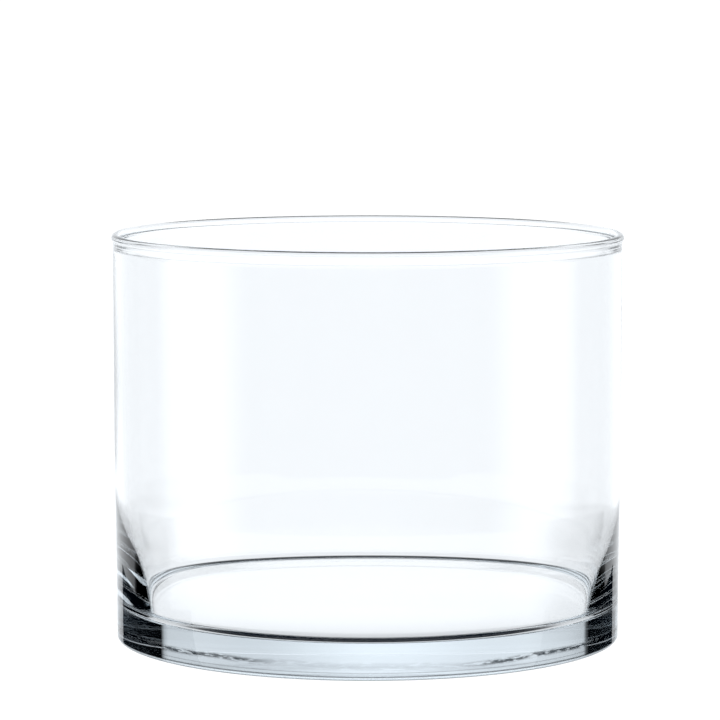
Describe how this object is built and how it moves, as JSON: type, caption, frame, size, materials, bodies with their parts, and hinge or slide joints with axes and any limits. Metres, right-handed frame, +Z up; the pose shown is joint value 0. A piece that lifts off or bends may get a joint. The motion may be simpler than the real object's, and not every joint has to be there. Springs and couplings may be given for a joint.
{
  "type": "crystallizing dish",
  "caption": "Clear glass dish with straight walls, a thick flat base, a rounded heel and a rounded bead at the open rim; no lid and no spout.",
  "frame": {"origin": "centre of the flat underside, where the dish stands", "axes": "+Z up along the axis of the dish, out of its open top; +X and +Y are free, because the dish is round"},
  "size_m": [0.1912, 0.1912, 0.152],
  "materials": {
    "glass": "clear, polished"
  },
  "bodies": {
    "root": {"base": "glass", "wall": "glass", "rim_bead": "glass"}
  },
  "joints": []
}
